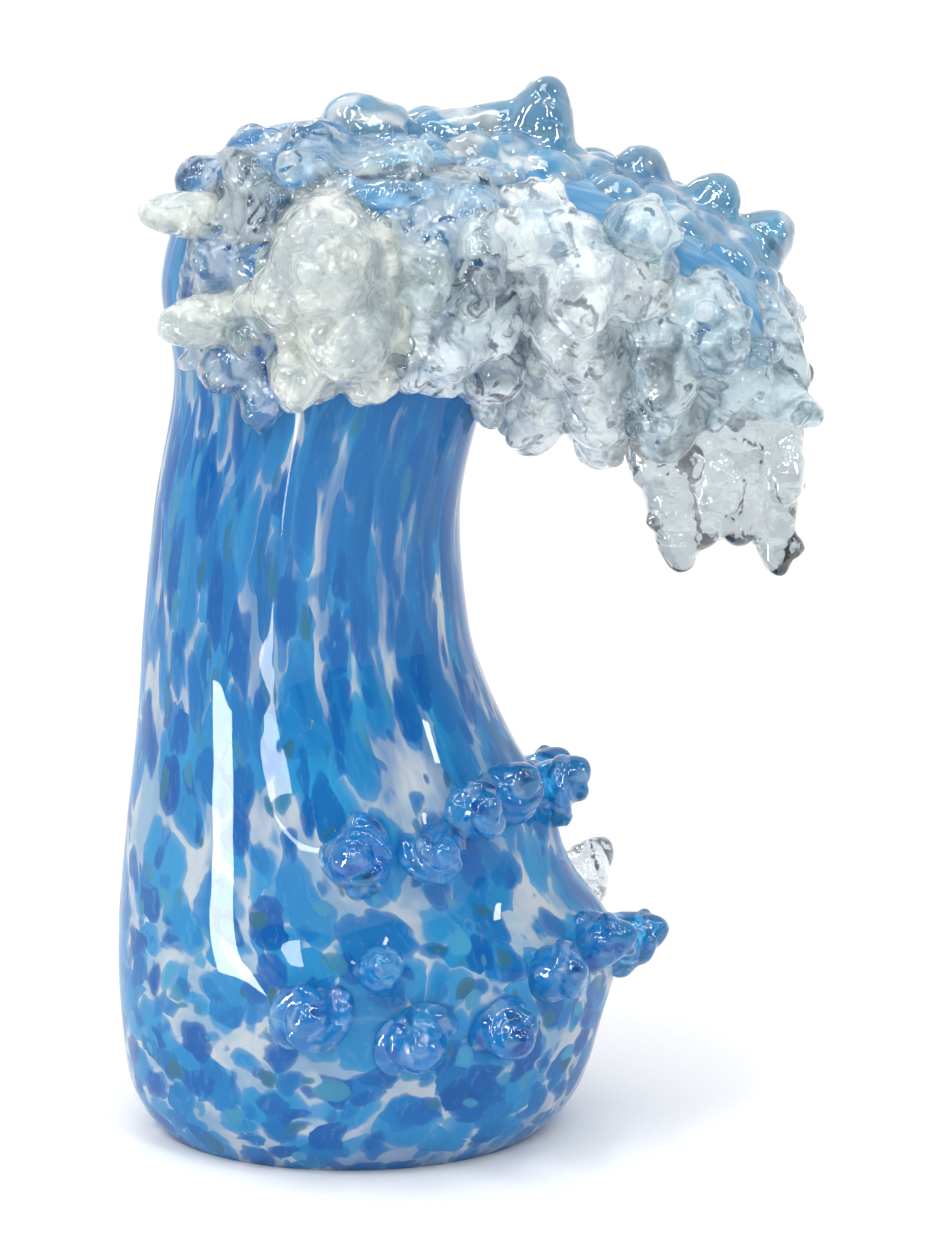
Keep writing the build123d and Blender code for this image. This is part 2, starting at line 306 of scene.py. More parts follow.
# Oval sections from the foot to the crest's end: outer edge x, z, inner edge x, z, and depth
SECTIONS = np.array([
    (-43.0, 0.0, 43.0, 0.0, 70.0),
    (-47.0, 5.1, 48.4, 5.1, 80.0),
    (-50.0, 11.9, 52.5, 11.9, 85.3),
    (-51.3, 22.1, 55.5, 22.1, 87.0),
    (-52.0, 34.0, 57.5, 34.0, 87.0),
    (-51.8, 47.6, 56.4, 47.6, 87.0),
    (-50.8, 59.5, 49.3, 59.5, 83.1),
    (-49.2, 74.8, 42.4, 74.8, 79.2),
    (-47.5, 88.4, 36.1, 88.4, 74.8),
    (-46.2, 102.0, 30.2, 102.0, 70.9),
    (-45.3, 115.6, 26.3, 115.6, 67.9),
    (-42.3, 142.8, 24.7, 142.8, 65.3),
    (-37.7, 170.0, 31.0, 170.0, 68.7),
    (-40.1, 192.0, 32.8, 179.0, 74.8),
    (-32.9, 211.8, 35.9, 185.7, 79.8),
    (-17.2, 223.7, 40.9, 189.1, 84.0),
    (12.1, 223.7, 47.2, 190.6, 84.0),
    (39.1, 219.3, 53.9, 188.6, 79.8),
    (63.9, 211.8, 62.0, 183.0, 73.9),
    (83.6, 201.9, 70.1, 175.2, 63.8),
    (94.0, 189.1, 80.0, 165.9, 50.4),
])
# The row where the crest starts, and how many rows on it ends
CREST_START = 12
CREST_STEPS = 8


def section(position):
    """Sections at fractional places in the table: a Catmull-Rom cubic through its rows."""
    position = np.atleast_1d(np.asarray(position, float))
    last = len(SECTIONS) - 1
    index = np.clip(position.astype(int), 0, last - 1)
    f = (position - index)[:, None]
    p0, p1, p2, p3 = (SECTIONS[np.clip(index + k, 0, last)] for k in (-1, 0, 1, 2))
    square = (2 * p0 - 5 * p1 + 4 * p2 - p3) * f**2
    cube = (3 * p1 - p0 - 3 * p2 + p3) * f**3
    return 0.5 * (2 * p1 + (p2 - p0) * f + square + cube)


def section_frame(position):
    """Centre, unit way to the outer edge, half width and half depth of each section."""
    outer_x, outer_z, inner_x, inner_z, depth = section(position).T
    zero = np.zeros_like(outer_x)
    centre = np.stack([(outer_x + inner_x) / 2, zero, (outer_z + inner_z) / 2], 1)
    way = np.stack([outer_x - inner_x, zero, outer_z - inner_z], 1)
    width = np.linalg.norm(way, axis=1)
    return centre, way / width[:, None], width / 2, depth / 2


NEAR = np.array((0.0, -1.0, 0.0))


def skin(position, bearing):
    """Points and outward normals of the skin: bearing 0 is on the outer edge and 90 towards -Y.

    A point is its section's centre plus the oval's reach along the bearing, which is one over the length
    of (cosine / half width, sine / half depth).
    """
    position, bearing = np.broadcast_arrays(np.asarray(position, float), np.radians(bearing))
    centre, way, a, b = section_frame(position.ravel())
    c, s = np.cos(bearing.ravel()), np.sin(bearing.ravel())
    reach = 1 / np.hypot(c / a, s / b)
    points = centre + (reach * c)[:, None] * way + (reach * s)[:, None] * NEAR
    normals = (c / a**2)[:, None] * way + (s / b**2)[:, None] * NEAR
    normals /= np.linalg.norm(normals, axis=1, keepdims=True)
    return points.reshape(*position.shape, 3), normals.reshape(*position.shape, 3)


def crest(along, bearing):
    """Point and normal at a share of the crest's length."""
    return skin(CREST_START + along * CREST_STEPS, bearing)


# Materials

# Frit chips in layers: shift between layers in metres, cell size in mm, two colours, least and added
# radius in cells. Melted frit of 4 to 9 mm.
CHIPS = (
    (0.0, 9.26, "2a88bb", "1e7ab2", 0.32, 0.44),
    (0.31, 8.20, "166cac", "2888bc", 0.22, 0.48),
    (0.57, 7.69, "105c9e", "1a72ae", 0.18, 0.46),
    (0.83, 8.62, "0a5096", "105ca3", 0.08, 0.48),
    (1.13, 5.88, "2b6076", "4493b8", -0.04, 0.48),
)


def stretched(tree, vector, share):
    """A vector socket with its height times share: a share under 1 draws the pattern out."""
    return vector_maths(tree, "MULTIPLY", vector, (1.0, 1.0, share))


def frit_colour(tree, lay):
    """Blue chips of glass melted into opal, in layers over each other.

    A chip is the part of a Voronoi cell within a radius of its own. Its rim is soft, where blue ran into
    the opal, and its heart is the densest.
    """
    place = warped(tree, warped(tree, lay, 14.3, 7.0), 3.85, 3.0)
    cloud = noise(tree, place, 9.1, 3.0).outputs[0]
    colour = blend(tree, ramp(tree, cloud, 0.38, 0.62), srgb("b3bcc3"), srgb("84a2bb"))
    for shift, size, one, two, least, added in CHIPS:
        moved = vector_maths(tree, "ADD", place, (shift, shift, shift))
        cells = node(tree, "ShaderNodeTexVoronoi", None, {"Vector": moved, "Scale": per(size)})
        parts = node(tree, "ShaderNodeSeparateColor", None, {0: cells.outputs["Color"]})
        reach = maths(tree, "ADD", maths(tree, "MULTIPLY", parts.outputs[0], added), least)
        gap = maths(tree, "SUBTRACT", reach, cells.outputs["Distance"])
        rim = ramp(tree, gap, -0.03, 0.04)
        heart = maths(tree, "ADD", maths(tree, "MULTIPLY", ramp(tree, gap, 0.0, 0.20), 0.22), 0.76)
        chip = blend(tree, parts.outputs[1], srgb(one), srgb(two))
        colour = blend(tree, maths(tree, "MULTIPLY", rim, heart), colour, chip)
    grain = noise(tree, stretched(tree, place, 0.25), 1.11, 2.0).outputs[0]
    pale = maths(tree, "MULTIPLY", ramp(tree, grain, 0.55, 0.75), 0.22)
    return blend(tree, pale, colour, srgb("6f9fc8"))


def body_material():
    """Opal glass with melted blue frit, gathered over in clear and fire-polished.

    The clear gather gives the wet gloss over soft-edged chips. The blue is darkened in streaks by
    painted shade, on the inner side and at the foot and the neck, and the curl's back has a pale skin of
    drawn strands.
    """
    material, tree, glass = new_material("frit_opal_glass_under_fire_polished_clear")
    lay = attribute(tree, "lay").outputs["Vector"]
    colour = frit_colour(tree, lay)
    streak = noise(tree, stretched(tree, lay, 0.35), 6.67, 3.0).outputs[0]
    shade = attribute(tree, "shade").outputs["Fac"]
    # Painted shade: the shade attribute darkens the blue in streaks, most on the inner side and at the
    # foot and neck
    painted_shade = maths(tree, "MULTIPLY", shade, ramp(tree, streak, 0.30, 0.62))
    colour = blend(tree, painted_shade, colour, srgb("155f9e"))
    strands = noise(tree, stretched(tree, warped(tree, lay, 28.6, 22.0), 2.2), 16.7, 3.0, 0.6).outputs[0]
    veil = blend(tree, ramp(tree, strands, 0.40, 0.60), srgb("4889b6"), srgb("8fb4c9"))
    crown = maths(tree, "MULTIPLY", attribute(tree, "crown").outputs["Fac"], 0.88)
    tree.links.new(blend(tree, crown, colour, veil), glass.inputs["Base Color"])
    glass.inputs["Roughness"].default_value = 0.5
    glass.inputs["Specular IOR Level"].default_value = 0.0
    glass.inputs["Coat Weight"].default_value = 0.8
    glass.inputs["Coat Roughness"].default_value = 0.012
    glass.inputs["Coat IOR"].default_value = 1.40
    wobble = noise(tree, stretched(tree, lay, 0.6), 22.2, 2.0).outputs[0]
    bump = node(tree, "ShaderNodeBump", None, {"Strength": 0.40, "Distance": 1.8 * MM, "Height": wobble})
    tree.links.new(bump.outputs[0], glass.inputs["Coat Normal"])
    return material


def wet_glass(tree, glass, height, wave_height, coat):
    """Sets the gloss of hot-worked soda-lime glass: smooth, IOR 1.5, with low waves on its skin.

    wave_height is in millimetres.
    """
    glass.inputs["IOR"].default_value = 1.5
    glass.inputs["Coat Weight"].default_value = coat
    glass.inputs["Coat Roughness"].default_value = 0.005
    values = {"Strength": 1.0, "Distance": wave_height * MM, "Height": height}
    bump = node(tree, "ShaderNodeBump", None, values)
    tree.links.new(bump.outputs[0], glass.inputs["Normal"])
    tree.links.new(bump.outputs[0], glass.inputs["Coat Normal"])


def foam_material(name, milk, tint, least, most, glow, windows, wave_height, fine, coat=1.0):
    """Clear glass worked hot, with milky trails and clear windows between them.

    least and most are the transmission of the trails and of the glass between them, glow is the share of
    light scattered inside, and windows is how clear the windows are. wave_height is in millimetres, and
    fine is the share of the finer waves.
    """
    material, tree, glass = new_material(name)
    place = node(tree, "ShaderNodeTexCoord").outputs["Object"]
    trail = noise(tree, warped(tree, place, 12.5, 10.0), 10.0, 3.0, 0.55, 0.8).outputs[0]
    milky = ramp(tree, trail, 0.36, 0.60)
    tree.links.new(blend(tree, milky, srgb(tint), srgb(milk)), glass.inputs["Base Color"])
    folds = noise(tree, warped(tree, place, 8.33, 8.0), 5.26, 2.0, 0.5, 1.2).outputs[0]
    window = maths(tree, "MULTIPLY", ramp(tree, folds, 0.48, 0.66), windows)
    values = {0: milky, 1: 0.0, 2: 1.0, 3: most, 4: least}
    clear = node(tree, "ShaderNodeMapRange", None, values).outputs[0]
    tree.links.new(maths(tree, "MAXIMUM", clear, window), glass.inputs["Transmission Weight"])
    glass.inputs["Roughness"].default_value = 0.015
    glass.inputs["Subsurface Weight"].default_value = glow
    glass.inputs["Subsurface Radius"].default_value = (1.0, 1.0, 1.0)
    glass.inputs["Subsurface Scale"].default_value = 6.0 * MM
    broad = noise(tree, warped(tree, place, 6.67, 4.0), 4.17, 1.0, 0.5, 0.8).outputs[0]
    small = noise(tree, place, 1.79, 1.0, 0.5, 1.0).outputs[0]
    height = maths(tree, "ADD", broad, maths(tree, "MULTIPLY", small, fine))
    wet_glass(tree, glass, height, wave_height, coat)
    return material


def blue_material(name, dark, light, pale, least, most, twist, trails, coat=1.0):
    """Blue glass pulled hot, with white trails that twisted as it was pulled.

    least and most are the transmission of the dark and the light blue, twist is the trails' width in
    millimetres, and trails is how strong the white is.
    """
    material, tree, glass = new_material(name)
    place = node(tree, "ShaderNodeTexCoord").outputs["Object"]
    swirl = noise(tree, warped(tree, place, 2 * twist, twist), twist, 1.0, 0.4, 1.0).outputs[0]
    colour = blend(tree, ramp(tree, swirl, 0.35, 0.60), srgb(dark), srgb(light))
    moved = warped(tree, place, twist / 0.6, twist * 0.8)
    streak = noise(tree, moved, twist / 1.3, 1.0, 0.4, 0.6).outputs[0]
    white = maths(tree, "MULTIPLY", ramp(tree, streak, 0.52, 0.66), trails)
    tree.links.new(blend(tree, white, colour, srgb(pale)), glass.inputs["Base Color"])
    values = {0: swirl, 1: 0.3, 2: 0.7, 3: least, 4: most}
    clear = node(tree, "ShaderNodeMapRange", None, values).outputs[0]
    tree.links.new(clear, glass.inputs["Transmission Weight"])
    glass.inputs["Roughness"].default_value = 0.02
    wave = noise(tree, warped(tree, place, 7.69, 4.0), 6.67, 1.0, 0.5, 0.8).outputs[0]
    wet_glass(tree, glass, wave, 0.5, coat)
    return material


BODY = body_material()
# Each row: name, milk, tint, least and most transmission, glow, windows, wave height in mm, fine, coat
# Milky soda-lime glass, gathered thick: dense white with thin clear places and long wet highlights
MILKY = foam_material("milky_glass_hot_worked", "d9ded8", "cdd8d9", 0.12, 0.42, 0.9, 0.45, 2.1, 0.20)
# Misty glass, drawn thinner, with clear windows that show what is behind: paler than the pale glass, as
# painted light on the middle foam, which faces down
MISTY_PAINTED_LIGHT = foam_material("misty_glass_painted_light_hot_worked", "ebf5f8", "e4f0f5", 0.18, 0.62, 0.9, 0.82, 1.7, 0.28)
# The same with a breath of blue from the crest
PALE = foam_material("pale_glass_hot_worked", "e2f0f6", "d6e8f1", 0.20, 0.70, 0.9, 0.92, 1.7, 0.28)
# Drawn out thin towards the crest's end: little milk, so the blue and the light come through
THIN = foam_material("thin_misty_glass_hot_worked", "d3e5ea", "c6dce2", 0.32, 0.82, 0.7, 0.95, 1.6, 0.30)
# Clear glass laid over the frit: the blue shows through it
OVERLAY = foam_material("clear_glass_over_frit", "dbe9ec", "d4e5ea", 0.62, 1.0, 0.5, 1.0, 1.1, 0.15, 0.5)
# Clear glass pulled into drips: no milk, only its grey lines of refraction
CLEAR = foam_material("clear_glass_pulled", "b8c2c7", "c3cdd1", 0.94, 1.0, 0.0, 1.0, 0.5, 0.0)
# The same, laid on the column: a little light caught inside
CLEAR_NUB = foam_material("clear_glass_nubs", "e8edef", "eef2f4", 0.80, 1.0, 0.4, 1.0, 0.5, 0.0)
# Each row: name, dark, light, pale, least and most transmission, twist in mm, trails, coat
# Pale blue glass with white trails, pulled up in peaks
PALE_BLUE = blue_material("pale_blue_glass_pulled", "57a2cb", "90c4dd", "e4edf1", 0.30, 0.80, 11.0, 1.0)
# Cobalt glass, pulled and twisted in nubs: deep and clear
COBALT = ("1488cc", "48b8f0", "d4f0fb")
DEEP_BLUE = blue_material("cobalt_glass_pulled", *COBALT, 0.45, 0.97, 5.5, 0.35, 0.2)

# The body

# Points round a ring, and rings up the foot's edge and up the rest of the skin
BODY_SIDES = 200
FOOT_ROWS = 14
SKIN_ROWS = 245
# Distance up the skin in mm, and there how much longer the glass was drawn and how strong the painted
# shade on the blue is
TRAVEL = (0, 12, 35, 60, 85, 115, 150, 200, 260, 400)
DRAWN = (0.75, 0.9, 1.05, 1.4, 1.9, 2.3, 2.4, 2.2, 2.0, 2.0)
SHADE_UP_SKIN = (0.9, 0.3, 0.05, 0.15, 0.5, 0.85, 0.95, 0.9, 0.5, 0.3)
# Radius in mm of the cylinder that the pattern is laid on, and where up the skin it changes
GIRTH_TRAVEL = (0, 60, 130, 400)
GIRTH = (44.0, 44.0, 60.0, 60.0)
# Rings that round off the crest's end: mm past the last section, share of its size, and the pattern's
# height past it and radius in mm
END_RINGS = np.array([(2.5, 0.93, 1.0, 58.0), (5.0, 0.72, 2.0, 54.0), (6.0, 0.35, 3.0, 50.0)])
# How pale the crest is at places in the section table: first its top, then the whole of it
TOP_PLACES = (0, 14.6, 15.6, 21)
TOP_PALE = (0, 0, 1, 1)
ROUND_PLACES = (0, 15, 17, 21)
ROUND_PALE = (0, 0, 0.9, 0.9)


def body(anchors):
    """The skin of the wave: ovals along the section table, with attributes for the pattern.

    A point is a section's centre plus half its width times cosine towards the outer edge plus half its
    depth times sine towards -Y. anchors are rows of (point, height, radius): round each, the skin swells
    by height times the bell curve of the distance over the radius, where a bit was pulled out.
    lay is the point on a straight cylinder that the skin is laid out on, squeezed in height where the
    glass was drawn long. shade is painted shade, darker blue at the foot and the neck and on the inner
    side, the side away from the light: SHADE_UP_SKIN times 0.72 less 0.42 times the cosine.
    crown is 1 on the paler top of the curl: the greater of 0.15 plus 1.2 times the cosine and a share
    that goes all round, times a share that starts at the crest.
    """
    last = len(SECTIONS) - 1
    places = np.concatenate([np.linspace(0, 1, FOOT_ROWS), np.linspace(1, last, SKIN_ROWS)[1:]])
    centre, way, a, b = section_frame(places)
    turn = np.linspace(0, 2 * np.pi, BODY_SIDES, endpoint=False)
    cosine, sine = np.cos(turn)[None, :, None], np.sin(turn)[None, :, None]
    a, b, way = a[:, None, None], b[:, None, None], way[:, None, :]
    ring = a * cosine * way + b * sine * NEAR
    points = centre[:, None, :] + ring
    outward = cosine / a * way + sine / b * NEAR
    outward /= np.linalg.norm(outward, axis=2)[..., None]
    swell = np.zeros(points.shape[:2])
    for anchor, height, radius in anchors:
        far = np.linalg.norm(points - np.asarray(anchor), axis=2) / radius
        swell = np.maximum(swell, height * np.exp(-(far**2)))
    points = points + outward * swell[..., None]
    end = unit(centre[-1] - centre[-2])
    end_step, end_share, end_laid, end_girth = END_RINGS.T
    end_centre = centre[-1] + end * end_step[:, None]
    rounded = end_centre[:, None, :] + ring[-1] * end_share[:, None, None]
    points = np.concatenate([points, rounded])
    rings = len(points)
    faces = tube_faces(rings, BODY_SIDES)[:, ::-1]
    made = shape("frit_body", points.reshape(-1, 3), faces, BODY)
    steps = np.linalg.norm(np.diff(centre, axis=0), axis=1)
    travel = np.concatenate([[0], np.cumsum(steps)])
    drawn = np.interp(travel, TRAVEL, DRAWN)
    laid = np.concatenate([[0], np.cumsum(np.diff(travel) / (drawn[1:] + drawn[:-1]) * 2)])
    laid = np.concatenate([laid, laid[-1] + end_laid])
    girth = np.concatenate([np.interp(travel, GIRTH_TRAVEL, GIRTH), end_girth])
    lay = np.empty((rings, BODY_SIDES, 3))
    lay[..., 0] = girth[:, None] * np.cos(turn)
    lay[..., 1] = girth[:, None] * np.sin(turn)
    lay[..., 2] = laid[:, None]
    field = made.data.attributes.new("lay", "FLOAT_VECTOR", "POINT")
    field.data.foreach_set("vector", (lay * MM).ravel())
    # Painted shade: darker at the foot and the neck, and on the inner side, the side away from the light
    depth = np.concatenate([np.interp(travel, TRAVEL, SHADE_UP_SKIN), [SHADE_UP_SKIN[-1]] * len(END_RINGS)])
    shade = depth[:, None] * np.clip(0.72 - 0.42 * np.cos(turn), 0, 1)
    field = made.data.attributes.new("shade", "FLOAT", "POINT")
    field.data.foreach_set("value", shade.ravel())
    places = np.concatenate([places, [last] * len(END_RINGS)])
    on_top = np.interp(places, TOP_PLACES, TOP_PALE)
    top = np.clip(0.15 + 1.2 * np.cos(turn), 0, 1)
    all_round = np.interp(places, ROUND_PLACES, ROUND_PALE)
    crown = on_top[:, None] * np.maximum(top[None, :], all_round[:, None])
    field = made.data.attributes.new("crown", "FLOAT", "POINT")
    field.data.foreach_set("value", crown.ravel())
    return made


# Foam

# The radius and length in mm that a lobe's own are shares of
LOBE_RADIUS = 10.0
LOBE_LENGTH = 20.0
LOBE_SIDES = 28
BEAD_SIDES = 12
BEAD_ROWS = 9
# A pulled bit's root centre lies this share of its root radius under the skin
SUNK = 0.35
# A lobe of this size in mm carries the whole count of dots
DOTTED_SIZE = 12
# Voxel, and height and size of the ripples, in mm
FOAM_VOXEL = 0.65
FOAM_RIPPLE = 0.25
RIPPLE_SIZE = 9


def lobe(row):
    """A lobe as (root centre, way, root radius, tip radius, length) from its place on the crest.

    The way is the normal times one less the droop, plus the lean along +X, less the droop along +Z.
    """
    along, bearing, droop, lean, root, tip, reach = row
    point, normal = crest(along, bearing)
    way = unit(normal * (1 - droop) + np.array((lean, 0, -droop)))
    radius = root * LOBE_RADIUS
    return point - normal * SUNK * radius, way, radius, tip * LOBE_RADIUS, reach * LOBE_LENGTH


def bead(place, pull, size, tip, length):
    """A small drop with few faces, for the forms that are strewn by the hundred."""
    return revolved(place, pull, drop_profile(size, tip, length, BEAD_ROWS), BEAD_SIDES)


def lumps(drop, count, small, large, spread):
    """Small beads half sunk in a drop's side and tip, away from its root.

    A bead's place is the drop's centre, plus a random share of its length along its way, plus the radius
    there out along a random turn, less the part of the bead that is sunk. Past 0.7 of the length it may
    also tilt towards the tip.
    """
    centre, way, root, tip, length = drop
    side = unit(np.cross(way, (0.31, 0.87, 0.4)))
    other = np.cross(way, side)
    forms = []
    for _ in range(count):
        turn = rng.uniform(0, 2 * np.pi)
        share = rng.uniform(-0.1, 1.0)
        lift = share * length
        radius = root + (tip - root) * np.clip(share, 0, 1)
        out = math.cos(turn) * side + math.sin(turn) * other
        tilt = rng.uniform(0, 1.2) if share > 0.7 else 0.0
        out = unit(out * math.cos(tilt) + way * math.sin(tilt))
        size = rng.uniform(small, large)
        place = centre + way * lift + out * (radius * 0.98 - size * (1 - spread))
        pull = unit(out + 0.5 * rng.normal(size=3) + np.array((0, 0, -0.4)))
        tip_size = size * rng.uniform(0.6, 1.0)
        forms.append(bead(place, pull, size, tip_size, size * rng.uniform(0.3, 1.1)))
    return forms


SLAB_ROWS = 26
SLAB_COLUMNS = 20
# A sheet's depth under the skin in mm, and the share of its thickness that its edge has
SLAB_SUNK = 2.0
SLAB_EDGE = 0.2


def slab(along_0, along_1, bearing_0, bearing_1, thick):
    """A closed sheet over a stretch of the crest's skin, from under it to thick above it.

    Its top is the skin plus the normal times thick, and a fifth of that along its edge. Its underside is
    the skin less the normal times the sunk depth.
    """
    along = np.linspace(along_0, along_1, SLAB_ROWS)[:, None]
    bearing = np.linspace(bearing_0, bearing_1, SLAB_COLUMNS)[None, :]
    points, normals = crest(along, bearing)
    lift = np.full(points.shape[:2], thick * SLAB_EDGE)
    lift[1:-1, 1:-1] = thick
    above = points + normals * lift[..., None]
    below = points - normals * SLAB_SUNK
    total = SLAB_ROWS * SLAB_COLUMNS
    grid = np.arange(total).reshape(SLAB_ROWS, SLAB_COLUMNS)
    top = np.stack([grid[:-1, :-1], grid[:-1, 1:], grid[1:, 1:], grid[1:, :-1]], -1).reshape(-1, 4)
    rim = np.concatenate([grid[0], grid[1:, -1], grid[-1, -2::-1], grid[-2:0:-1, 0]])
    ahead = np.roll(rim, -1)
    edge = np.stack([ahead, rim, rim + total, ahead + total], -1)
    faces = np.concatenate([top, top[:, ::-1] + total, edge])
    return np.concatenate([above.reshape(-1, 3), below.reshape(-1, 3)]), faces


# How long a strewn bead is in its own radii, and how often each length comes
BEAD_LENGTHS = (0.3, 1.0, 2.2)
BEAD_ODDS = (0.35, 0.35, 0.30)


def beads(along_0, along_1, bearing_0, bearing_1, count, small, large, droop=0.5):
    """Round and drawn-out beads strewn over a stretch of the crest, most of them hanging a little.

    A bead lies up to 0.55 of its radius under the skin. It is pulled along 0.12 of the normal plus 0.6
    of a random way along the skin plus the droop along -Z.
    """
    forms = []
    for _ in range(count):
        point, normal = crest(rng.uniform(along_0, along_1), rng.uniform(bearing_0, bearing_1))
        size = rng.uniform(small, large)
        place = point + normal * size * rng.uniform(-0.55, 0.0)
        along_skin = rng.normal(size=3)
        along_skin -= normal * (along_skin @ normal)
        pull = unit(normal * 0.12 + along_skin * 0.6 + np.array((0, 0, -droop)))
        length = size * rng.choice(BEAD_LENGTHS, p=BEAD_ODDS)
        forms.append(bead(place, pull, size, size * rng.uniform(0.6, 1.0), length))
    return forms


def foam(
    name, rows, patches, material, nodes, dots, sizes=(1.8, 3.8), spread=0.18, smooth=6, plain=()
):
    """A mass of foam: lobes where the solids stand with beads on them, and patches of beaded sheet.

    A lobe's row is (along, bearing, droop, lean, root, tip, reach) on the crest, or a drop's own
    (centre, way, root, tip, length). A patch's row is (along, along, bearing, bearing, thickness, beads,
    smallest, largest). dots is how many beads a lobe of 12 mm carries, of sizes between the two given
    and proud by spread. Plain lobes carry none.
    """
    forms = []
    for row in rows:
        drop = lobe(row) if len(row) == 7 else row
        centre, way, root, tip, length = drop
        drop = (np.asarray(centre, float), unit(way), root, tip, length)
        forms.append(revolved(centre, way, drop_profile(root, tip, length), LOBE_SIDES))
        count = int(dots * (root + length * 0.4) / DOTTED_SIZE)
        forms += lumps(drop, count, *sizes, spread)
    for row in plain:
        centre, way, root, tip, length = lobe(row)
        forms.append(revolved(centre, way, drop_profile(root, tip, length), LOBE_SIDES))
    for along_0, along_1, bearing_0, bearing_1, thick, count, least, most in patches:
        forms.append(slab(along_0, along_1, bearing_0, bearing_1, thick))
        forms += beads(along_0, along_1, bearing_0, bearing_1, count, least, most)
        forms += beads(along_0, along_1, bearing_0, bearing_1, count, least * 0.6, least * 1.2, 1.0)
    made = fused(name, forms, material, FOAM_VOXEL, smooth, FOAM_RIPPLE, RIPPLE_SIZE)
    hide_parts(*nodes)
    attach(made, "root")
    return made


foam(
    "foam_left",
    (
        (0.28, 80, 0.4, 0.0, 1.40, 1.15, 0.38), (0.16, 95, 0.3, 0.0, 1.25, 1.05, 0.33),
        (0.07, 80, 0.6, 0.0, 0.72, 0.56, 0.30), (0.08, 105, 0.5, 0.1, 0.76, 0.60, 0.26),
        (0.19, 76, 0.2, -0.1, 0.88, 0.72, 0.33),
    ),
    ((0.05, 0.36, 72, 114, 2.0, 50, 3.0, 6.5),),
    MILKY,
    ("foam_mass_left", "foam_finger_upper", "foam_finger_lower"),
    dots=9,
    plain=((0.24, 35, 0.1, -1.4, 0.66, 0.40, 0.68), (0.12, 60, 0.2, -1.6, 0.74, 0.50, 0.72)),
)
foam(
    "foam_veil",
    (
        (0.07, 58, 0.5, -0.2, 0.72, 0.58, 0.33), (0.03, 66, 0.7, 0.0, 0.62, 0.48, 0.33),
        (0.12, 68, 0.3, 0.0, 0.68, 0.52, 0.33), (0.20, 52, 0.2, -0.3, 0.58, 0.44, 0.33),
    ),
    ((0.03, 0.34, 30, 78, 1.4, 22, 2.4, 4.8),),
    OVERLAY,
    ("foam_veil_left",),
    dots=9,
)
foam(
    "foam_crest_ridge",
    (
        (0.33, 42, 0.0, -0.3, 0.62, 0.48, 0.28), (0.41, 40, 0.0, 0.0, 0.68, 0.48, 0.28),
        (0.38, 52, 0.1, 0.0, 0.58, 0.43, 0.28),
    ),
    (
        (0.23, 0.47, 8, 62, 1.8, 24, 2.8, 5.6), (0.42, 0.57, 24, 66, 1.8, 13, 2.6, 5.2),
    ),
    OVERLAY,
    ("foam_ridge",),
    dots=12,
    plain=((0.27, 18, 0.0, -0.1, 0.68, 0.56, 0.18),),
)
foam(
    "foam_centre",
    (
        (0.19, 124, 0.4, 0.2, 1.10, 0.96, 0.38), (0.12, 146, 0.5, 0.4, 1.00, 0.86, 0.43),
        (0.28, 128, 0.5, 0.3, 0.96, 0.82, 0.48), (0.20, 168, 0.4, 0.5, 0.82, 0.68, 0.33),
    ),
    ((0.04, 0.48, 112, 172, 1.6, 56, 2.6, 5.8),),
    PALE,
    ("foam_mass_centre",),
    dots=10,
)
foam(
    "foam_flow",
    (
        (0.43, 88, 0.7, 0.0, 0.62, 0.50, 0.75), (0.52, 80, 0.6, 0.2, 0.60, 0.48, 0.75),
    ),
    ((0.34, 0.56, 58, 128, 1.6, 28, 2.6, 5.4),),
    OVERLAY,
    ("foam_streaks",),
    dots=10,
)
foam(
    "foam_middle",
    (
        (0.61, 76, 0.5, 0.2, 0.76, 0.62, 0.50), (0.63, 95, 0.5, 0.0, 0.96, 0.82, 0.53),
        (0.53, 130, 0.7, 0.1, 1.10, 0.92, 0.78), (0.50, 160, 1.0, 0.0, 1.06, 0.86, 0.92),
        (0.66, 150, 1.0, 0.0, 1.15, 0.96, 1.35), (0.60, 185, 1.0, -0.3, 1.06, 0.90, 1.66),
        (0.74, 180, 1.0, -0.2, 1.00, 0.84, 1.52),
    ),
    ((0.50, 0.78, 84, 175, 1.8, 150, 2.2, 5.2),),
    # Painted light: paler glass on the middle foam, which faces down
    MISTY_PAINTED_LIGHT,
    ("foam_lobe_bright", "foam_mass_mid", "foam_mass_under"),
    dots=20,
)
foam(
    "foam_outer",
    (
        (0.74, 75, 0.4, 0.0, 0.86, 0.72, 0.43), (0.80, 105, 0.7, 0.1, 0.92, 0.78, 0.78),
        (0.86, 85, 0.6, 0.1, 0.82, 0.68, 0.58), (0.84, 130, 0.9, 0.0, 0.96, 0.82, 1.02),
        ((88.0, -14.0, 180.0), (0.7, -0.3, -0.4), 9.0, 7.0, 3.0),
        ((89.5, 0.0, 184.0), (0.8, 0.0, -0.2), 9.0, 7.0, 2.0),
        ((88.0, 14.0, 180.0), (0.7, 0.3, -0.4), 9.0, 7.0, 3.0),
        ((86.0, -8.0, 171.0), (0.5, -0.2, -0.8), 8.0, 6.0, 4.0),
        ((86.0, 8.0, 171.0), (0.5, 0.2, -0.8), 8.0, 6.0, 4.0),
    ),
    ((0.72, 0.995, 84, 170, 1.8, 110, 2.0, 4.8),),
    THIN,
    ("foam_mass_outer", "tip_fin", "tip_knob"),
    dots=20,
    smooth=8,
    plain=((0.95, 62, 0.8, 0.25, 0.58, 0.40, 0.88), (0.97, 110, 0.3, 1.9, 0.58, 0.45, 0.88)),
)
